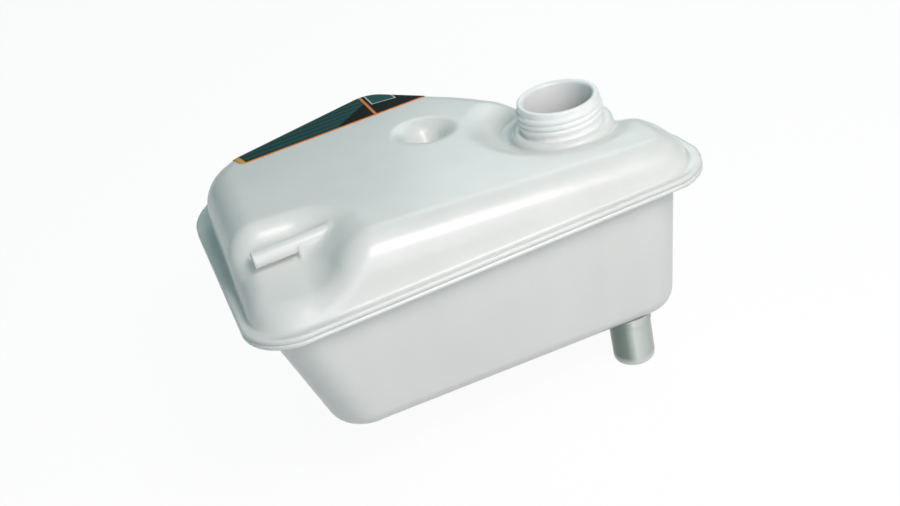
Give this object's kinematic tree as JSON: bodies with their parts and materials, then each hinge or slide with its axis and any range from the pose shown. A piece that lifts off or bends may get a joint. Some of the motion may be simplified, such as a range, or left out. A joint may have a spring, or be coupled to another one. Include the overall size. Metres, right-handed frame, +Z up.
{
  "type": "coolant expansion tank",
  "caption": "Translucent white plastic coolant expansion tank: welded upper and lower shells, screw filler neck, corner scoop with bleed nipple, roof dimple, outlet spigot and dark film label.",
  "frame": {"origin": "on the filler neck's axis, at the flat seat that the neck stands on", "axes": "+Z up the neck, +X along the straight front towards the low end, +Y from the front to the back"},
  "size_m": [0.2815, 0.2359, 0.164],
  "materials": {
    "polypropylene": "satin, faintly translucent, natural white",
    "label_film": "printed film in plain dark and orange fields"
  },
  "bodies": {
    "root": {"upper_shell": "polypropylene", "lower_shell": "polypropylene", "label": "label_film"}
  },
  "joints": []
}
